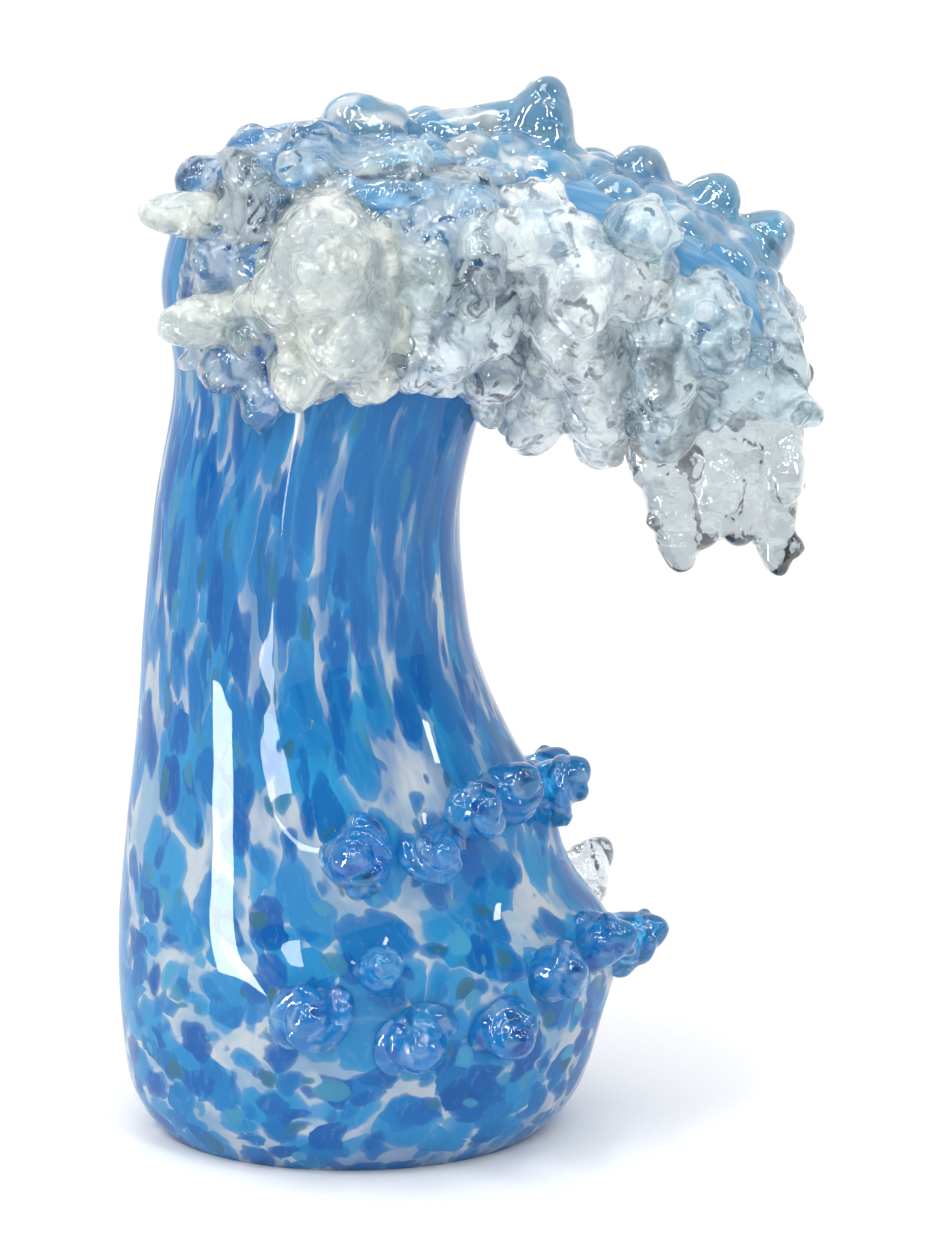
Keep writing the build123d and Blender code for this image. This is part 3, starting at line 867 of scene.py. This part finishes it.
foam(
    "foam_back",
    (
        (0.14, 250, 0.4, 0.0, 1.06, 0.86, 0.38), (0.24, 275, 0.3, 0.0, 1.16, 0.96, 0.38),
        (0.10, 285, 0.6, 0.0, 0.86, 0.68, 0.43), (0.34, 262, 0.4, 0.0, 0.96, 0.82, 0.43),
        (0.50, 255, 0.6, 0.0, 1.00, 0.82, 0.58), (0.60, 240, 0.8, 0.0, 1.06, 0.86, 0.78),
        (0.72, 250, 0.8, 0.1, 0.96, 0.76, 0.78), (0.84, 240, 0.9, 0.1, 0.86, 0.68, 0.88),
    ),
    (
        (0.02, 0.50, 195, 300, 1.5, 110, 2.5, 5.5), (0.46, 0.98, 190, 308, 1.6, 150, 2.2, 5.0),
    ),
    PALE,
    ("foam_back_left", "foam_back_right"),
    dots=14,
)

# The tip: fingers of clear glass run together into a veil with two drips
TIP_FINGERS = (
    ((68.0, -3.0, 168.0), (0.13, 0.0, -1.0), 8.5, 6.2, 35.5),
    ((93.5, 2.0, 168.0), (0.0, 0.0, -1.0), 7.5, 5.0, 37.5),
    ((74.5, -3.0, 170.0), (0.10, 0.0, -1.0), 8.0, 6.0, 32.0),
    ((79.5, 1.5, 170.0), (0.05, 0.0, -1.0), 8.0, 6.4, 31.0),
    ((84.5, -2.0, 170.0), (0.03, 0.0, -1.0), 8.0, 6.4, 31.5),
    ((90.0, 1.0, 170.0), (0.0, 0.0, -1.0), 8.0, 6.0, 32.0),
    ((66.5, -4.0, 160.0), (-0.05, -0.2, -1.0), 7.0, 5.5, 9.0),
    ((80.0, -5.0, 152.0), (0.2, -0.3, -1.0), 5.5, 4.5, 7.0),
    ((95.0, -3.0, 152.0), (0.1, -0.3, -1.0), 5.0, 4.0, 6.0),
)
foam(
    "tip_veil_fused",
    TIP_FINGERS,
    (),
    CLEAR,
    ("tip_veil", "tip_drip_near", "tip_drip_far"),
    dots=3,
    sizes=(2.4, 4.4),
    spread=0.1,
    smooth=20,
)

# Peaks and splashes

CREST_VOXEL = 0.6
CREST_SMOOTHING = 12
PEAK_SIDES = 40
# A peak's foot is the peak made this much wider and lower, and 1 mm deeper
FOOT_SHARES = (1.18, 0.62)
FOOT_SUNK = (0.0, -1.0)
LINE_STEPS = 24
# A web and a run lie these shares of their own radius under the skin
WEB_SUNK = 0.55
RUN_SUNK = 0.40
PULLED_RIPPLE = 0.2
# Along, bearing, rise, lean, root radius, tip radius and length of each peak and knob
PEAKS = {
    "crest_peak_tall": (0.61, 5, 0.9, 0.36, 14.0, 5.6, 15.0),
    "crest_peak_second": (0.74, 5, 0.4, 0.2, 11.0, 6.2, 6.0),
    "crest_peak_third": (0.82, 14, 0.3, 0.5, 9.5, 5.8, 7.5),
    "crest_peak_end": (0.90, 10, 0.1, 0.7, 10.5, 5.4, 9.0),
}
KNOBS = {
    "crest_knob_large": (0.455, 12, 0.2, 0.0, 10.0, 8.0, 3.0),
    "crest_knob_small": (0.49, 10, 0.2, 0.1, 5.0, 3.6, 4.0),
}


def pulled_up(row):
    """The point on the crest's back that a drop stands on, and the drop as (base, way, profile).

    The way is the normal times one less the rise, plus the lean along +X and the rise along +Z.
    """
    along, bearing, rise, lean, root, tip, length = row
    point, normal = crest(along, bearing)
    way = unit(normal * (1 - rise) + np.array((lean, 0, rise)))
    return point, (point - normal * SUNK * root, way, drop_profile(root, tip, length))


def crest_piece(name, rows, fins, webs, flows, material):
    """Peaks that share one flowing skin, each a drop with a wider, lower one round its foot.

    fins are (peak, along, bearing, lift, radius) of the drawn edges that lead up to a peak: strands on a
    Bezier curve of degree two, from 0.62 of its height to the skin. webs are (along, bearing, root) of
    the low swellings between them. flows are (along, bearing, along, bearing, root) of the runs of glass
    from a peak down a side: strands on the straight line between the two in along and bearing.
    """
    forms = []
    for row in rows.values():
        base, way, profile = pulled_up(row)[1]
        forms.append(revolved(base, way, profile, PEAK_SIDES))
        skirt = profile * np.array(FOOT_SHARES) + np.array(FOOT_SUNK)
        forms.append(revolved(base, way, skirt, PEAK_SIDES))
    for peak, along, bearing, lift, thick in fins:
        base, way, profile = pulled_up(rows[peak])[1]
        skin_point, normal = crest(along, bearing)
        top = base + way * profile[-1, 1] * 0.62
        middle = (base + skin_point) / 2 + normal * lift
        foot = skin_point - normal * thick * 0.5
        share = np.linspace(0, 1, LINE_STEPS)[:, None]
        line = top * (1 - share) ** 2 + middle * 2 * share * (1 - share) + foot * share**2
        forms.append(strand(line, thick * (0.8 + 0.4 * share[:, 0])))
    for along, bearing, root in webs:
        point, normal = crest(along, bearing)
        low = drop_profile(root, root * 0.8, 1.0)
        forms.append(revolved(point - normal * WEB_SUNK * root, normal, low, LOBE_SIDES))
    for along_0, bearing_0, along_1, bearing_1, root in flows:
        share = np.linspace(0, 1, LINE_STEPS)
        radii = root * (1 - 0.35 * share)
        along = along_0 + (along_1 - along_0) * share
        points, normals = crest(along, bearing_0 + (bearing_1 - bearing_0) * share)
        forms.append(strand(points - normals * RUN_SUNK * radii[:, None], radii))
    made = fused(name, forms, material, CREST_VOXEL, CREST_SMOOTHING, PULLED_RIPPLE, RIPPLE_SIZE)
    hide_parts(*rows)
    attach(made, "root")


crest_piece(
    "crest_peaks_pulled",
    PEAKS,
    (
        ("crest_peak_tall", 0.50, 8, 3.0, 5.6),
        ("crest_peak_second", 0.68, 10, 1.0, 3.6),
        ("crest_peak_third", 0.76, 22, 1.0, 3.4),
        ("crest_peak_end", 0.84, 24, 1.0, 3.4),
    ),
    (
        (0.52, 8, 8.0), (0.555, 2, 11.0), (0.58, -8, 12.0), (0.65, 12, 10.0), (0.69, 0, 9.0),
        (0.73, 18, 9.0), (0.78, 8, 8.5), (0.80, 24, 8.0), (0.86, 16, 8.0), (0.87, -2, 7.5),
        (0.92, 20, 7.0), (0.55, 44, 8.5), (0.59, 30, 9.5), (0.63, 46, 9.5), (0.68, 34, 9.5),
        (0.71, 52, 9.0), (0.76, 38, 9.0), (0.79, 56, 8.5), (0.83, 42, 8.5), (0.88, 34, 8.0),
        (0.88, 56, 7.5), (0.93, 44, 7.0), (0.44, -24, 8.5), (0.50, -40, 9.0), (0.54, -22, 9.0),
        (0.60, -44, 9.5), (0.64, -24, 9.5), (0.69, -46, 9.0), (0.73, -26, 9.0), (0.79, -44, 8.5),
        (0.82, -20, 8.5), (0.88, -40, 8.0), (0.92, -16, 7.5),
    ),
    (
        (0.50, 10, 0.62, 6, 3.4), (0.60, 6, 0.92, 14, 3.0), (0.60, 8, 0.53, 62, 3.6),
        (0.62, 8, 0.60, 70, 3.2), (0.70, 6, 0.64, 66, 3.4), (0.74, 8, 0.72, 70, 3.6),
        (0.82, 12, 0.76, 66, 3.2), (0.83, 12, 0.83, 72, 3.2), (0.90, 10, 0.85, 62, 3.2),
        (0.91, 10, 0.93, 60, 3.0), (0.60, 4, 0.56, -56, 3.4), (0.74, 2, 0.70, -58, 3.2),
        (0.82, 8, 0.82, -56, 3.2), (0.90, 8, 0.90, -54, 3.0),
    ),
    PALE_BLUE,
)
crest_piece("crest_knobs_pulled", KNOBS, (), (), (), PALE_BLUE)

# The root radius, tip radius and reach in mm that a nub's own are shares of
NUB_ROOT = 8.5
NUB_TIP = 4.5
NUB_REACH = 14.0
NUB_SIDES = 32
NUB_VOXEL = 0.45
NUB_SMOOTHING = 8
NUB_RIPPLE_SIZE = 8
# How far in mm the skin swells round a nub and a peak, and over what share of their root radius
NUB_SWELL = 2.6
NUB_SPREAD = 1.25
PEAK_SWELL = 2.0
PEAK_SPREAD = 1.5
# An arm's root radius, tip radius and length as shares of the nub's root radius
ARM = (0.62, 0.30, 1.2)
ARM_SIDES = 24
# An arm starts this share of the nub's root radius under the skin
ARM_SUNK = 0.3
# A strand's turn in radians and its count of points
TWIST = 3.6
TWIST_STEPS = 26
# The column's height in mm, up to the crest's start
COLUMN_HEIGHT = 170.0
# The nubs of the lower row that are clear
CLEAR_ONES = (8, 9)
# Share of the column's height, bearing from +X, lift, and shares of the nub's root, tip and reach
UPPER = (
    (0.425, 84, 0.15, 1.10, 1.10, 0.70),
    (0.420, 60, 0.10, 0.95, 1.00, 0.75),
    (0.460, 44, 0.15, 0.95, 1.00, 0.70),
    (0.475, 28, 0.15, 0.95, 1.00, 0.70),
    (0.445, 6, 0.20, 1.00, 1.05, 0.90),
    (0.425, -20, 0.20, 0.95, 1.00, 0.80),
)
LOWER = (
    (0.225, 103, 0.10, 1.10, 1.10, 0.65),
    (0.280, 83, 0.30, 0.70, 0.85, 0.80),
    (0.190, 74, 0.05, 1.15, 1.20, 0.70),
    (0.190, 50, 0.10, 0.95, 1.05, 0.75),
    (0.250, 36, 0.20, 0.95, 1.00, 0.80),
    (0.265, 20, 0.20, 0.90, 0.95, 0.85),
    (0.245, 4, 0.20, 0.95, 1.05, 0.90),
    (0.270, -26, 0.35, 0.95, 1.05, 1.00),
    (0.265, -52, 0.25, 0.95, 1.00, 0.90),
)


def splash(target, row, material):
    """A nub pulled out of the column, with two strands twisted round it and arms that run into the skin.

    The nub stands on the oval at its height, where the oval's reach along the bearing is one over the
    length of (cosine / half width, sine / half depth), and its normal is tipped by the skin's slope.
    It is drawn along the normal times one less the lift, plus the lift along +Z. A strand's line is a
    helix: a point that runs along the nub's axis, plus a radius that falls from 0.80 to 0.45 of the
    root's, times (cosine, sine) of an angle that grows by TWIST.
    """
    height, bearing, lift, root, tip, reach = row
    root, tip, reach = root * NUB_ROOT, tip * NUB_TIP, reach * NUB_REACH
    z = height * COLUMN_HEIGHT
    position = np.interp(z, SECTIONS[: CREST_START + 1, 1], np.arange(CREST_START + 1))
    centre, way, a, b = (part[0] for part in section_frame(position))
    c, s = math.cos(math.radians(bearing)), math.sin(math.radians(bearing))
    r = 1 / math.hypot(c / a, s / b)
    point = centre + r * np.array((c, -s, 0))
    normal = unit((c / a**2, -s / b**2, 0))
    slope = (section(position + 0.1) - section(position - 0.1))[0]
    tilt = (slope[2] * max(c, 0) - slope[0] * max(-c, 0)) / max(slope[1], 1e-6)
    normal = unit(normal + np.array((0, 0, -tilt)))
    way = unit(normal * (1 - lift) + np.array((0, 0, lift)))
    base = point - normal * SUNK * root
    forms = [revolved(base, way, drop_profile(root, tip, reach), NUB_SIDES)]
    turn = unit(np.cross(way, (0, 0, 1)))
    rise = np.cross(turn, way)
    local = np.random.default_rng(int(abs(bearing) * 7 + z))
    for hand in (-1, 1):
        arm = unit(hand * turn - 0.3 * normal + np.array((0, 0, local.uniform(-0.4, 0.4))))
        profile = drop_profile(*(part * root for part in ARM))
        forms.append(revolved(point - normal * ARM_SUNK * root, arm, profile, ARM_SIDES))
    for start in (local.uniform(0, 3.1), local.uniform(3.1, 6.2)):
        share = np.linspace(0, 1, TWIST_STEPS)
        angle = (start + share * TWIST * local.choice((-1, 1)))[:, None]
        out = (root * (0.80 - 0.35 * share))[:, None]
        line = base + way * (0.40 * root + share * reach * 0.85)[:, None]
        line = line + out * (np.cos(angle) * turn + np.sin(angle) * rise)
        forms.append(strand(line, root * (0.34 - 0.12 * share)))
    name = target + "_pulled"
    made = fused(name, forms, material, NUB_VOXEL, NUB_SMOOTHING, PULLED_RIPPLE, NUB_RIPPLE_SIZE)
    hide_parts(target)
    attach(made, "root")
    anchors.append((point + normal, NUB_SWELL, root * NUB_SPREAD))


anchors = []
for count, row in enumerate(UPPER, 1):
    splash(f"upper_splash_{count}", row, DEEP_BLUE)
for count, row in enumerate(LOWER, 1):
    if count in CLEAR_ONES:
        splash(f"lower_splash_{count}", row, CLEAR_NUB)
    else:
        splash(f"lower_splash_{count}", row, DEEP_BLUE)

for row in (*PEAKS.values(), *KNOBS.values()):
    root = row[4]
    anchors.append((pulled_up(row)[0], PEAK_SWELL, root * PEAK_SPREAD))
frit_body = body(anchors)
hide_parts("opal_core", "clear_casing")
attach(frit_body, "root")

# Floor, light and camera

FLOOR_HALF = 3000.0
CORNERS = ((-1, -1, 0), (1, -1, 0), (1, 1, 0), (-1, 1, 0))

# Matt white paper: no gloss, so it keeps only the soft shadow
floor_material, floor_tree, paper = new_material("matt_white_paper")
fibre = noise(floor_tree, node(floor_tree, "ShaderNodeTexCoord").outputs["Object"], 2.5).outputs[0]
shade = blend(floor_tree, fibre, srgb("f6f6f6"), srgb("fafafa"))
floor_tree.links.new(shade, paper.inputs["Base Color"])
paper.inputs["Roughness"].default_value = 0.9
paper.inputs["Specular IOR Level"].default_value = 0.1
floor = shape("floor", np.array(CORNERS) * FLOOR_HALF, [(0, 1, 2, 3)], floor_material, False)

world = bpy.data.worlds.new("studio")
scene.world = world
world.use_nodes = True
sky = world.node_tree
background = sky.nodes["Background"]
way = node(sky, "ShaderNodeTexCoord").outputs["Generated"]
parts = node(sky, "ShaderNodeSeparateXYZ", None, {0: way})
# Mirrored in the glass: a dim room in front and a white backdrop behind
depth = ramp(sky, parts.outputs[1], -0.30, 0.30)
mirrored = blend(sky, depth, grey(0.22), grey(1.0))
# Through the glass: the white backdrop, and a patchy room where a ray is bent far back
clouded = node(sky, "ShaderNodeTexNoise", None, {"Vector": way, "Scale": 3.5, "Detail": 1.0}).outputs[0]
front = blend(sky, ramp(sky, clouded, 0.40, 0.56), grey(0.87), grey(2.30))
straight = ramp(sky, parts.outputs[1], 0.10, 0.72)
through = blend(sky, straight, front, grey(1.0))
# On plain surfaces: soft light, stronger from the left and from above
side = ramp(sky, parts.outputs[0], -0.9, 0.9)
soft = blend(sky, side, grey(1.30), grey(0.82))
soft = blend(sky, ramp(sky, parts.outputs[2], 0.3, 1.0), soft, grey(1.25))
paths = node(sky, "ShaderNodeLightPath")
around = blend(sky, paths.outputs["Is Transmission Ray"], mirrored, through)
lit = blend(sky, paths.outputs["Is Diffuse Ray"], around, soft)
seen = blend(sky, paths.outputs["Is Camera Ray"], lit, grey(1.0))
sky.links.new(seen, background.inputs["Color"])
background.inputs["Strength"].default_value = 1.0


def soft_box(name, aim, azimuth, elevation, distance, wide, tall, radiance, roll, diffuse):
    """A rectangular light that faces a point; azimuth 0 is the camera's side and grows to the left.

    Its power is radiance times pi times its area. One with diffuse off is seen in glass alone.
    """
    light = bpy.data.lights.new(name, "AREA")
    light.shape = "RECTANGLE"
    light.size, light.size_y = wide, tall
    light.energy = radiance * math.pi * wide * tall
    made = bpy.data.objects.new(name, light)
    a, e = math.radians(azimuth), math.radians(elevation)
    away = np.array((-math.sin(a) * math.cos(e), -math.cos(a) * math.cos(e), math.sin(e)))
    made.location = np.array(aim) + away * distance
    facing = mathutils.Euler((math.pi / 2 - e, 0, -a)).to_matrix()
    made.rotation_euler = (facing @ mathutils.Matrix.Rotation(roll, 3, "Z")).to_euler()
    made.visible_camera = False
    made.visible_diffuse = diffuse
    scene.collection.objects.link(made)
    return made


# Each row: name, point aimed at, azimuth, elevation, distance, width, height, radiance, roll, diffuse.
# Two strips draw the highlights down the column and are seen only as reflections, and three lamps light
# the object.
LAMPS = (
    ("strip_left", (-0.030, -0.035, 0.050), 55, -2, 0.17, 0.040, 0.088, 30.0, 0.0, False),
    ("strip_thin", (-0.015, -0.038, 0.090), 26.5, 0, 0.22, 0.050, 0.012, 20.0, 0.3, False),
    ("bar_front_left", (0.0, -0.03, 0.2), 40, 48, 1.2, 0.07, 0.50, 26.0, 0.5, True),
    ("bar_front_right", (0.05, -0.03, 0.2), -28, 40, 1.2, 0.06, 0.40, 22.0, 0.4, True),
    ("top_box", (0.02, 0.0, 0.2), 10, 78, 1.0, 0.35, 0.25, 5.0, 0.0, True),
)
for row in LAMPS:
    soft_box(*row)
# Small panels round the foam, seen only as its highlights: azimuth and elevation of each
PANELS = (
    (66, 16), (70, 48), (38, 22), (30, 66), (8, 34), (-14, 30), (-22, 60), (-48, 30), (-75, 46),
    (-70, 12), (150, 50),
)
PANEL_AIM = (0.02, -0.02, 0.2)
PANEL = (1.2, 0.07, 0.26, 30.0, 0.45, False)
for count, place in enumerate(PANELS):
    soft_box(f"panel_{count}", PANEL_AIM, *place, *PANEL)

# The photo's view: 1 m away and 13 degrees down on a point in the object's middle
CAMERA_TARGET = (0.0259, 0.0, 0.115)
CAMERA_DISTANCE = 1.0
CAMERA_TILT = math.radians(13.0)
CAMERA_LENS = 131.3

camera_data = bpy.data.cameras.new("camera")
camera = bpy.data.objects.new("camera", camera_data)
scene.collection.objects.link(camera)
scene.camera = camera
away = np.array((0, -math.cos(CAMERA_TILT), math.sin(CAMERA_TILT)))
camera.location = np.array(CAMERA_TARGET) + away * CAMERA_DISTANCE
camera.rotation_euler = (math.pi / 2 - CAMERA_TILT, 0, 0)
camera_data.lens = CAMERA_LENS
camera_data.clip_start = 0.01

scene.view_settings.view_transform = "Standard"
scene.cycles.max_bounces = 24
scene.cycles.transmission_bounces = 16
scene.cycles.glossy_bounces = 16
scene.cycles.diffuse_bounces = 4
scene.cycles.transparent_max_bounces = 8
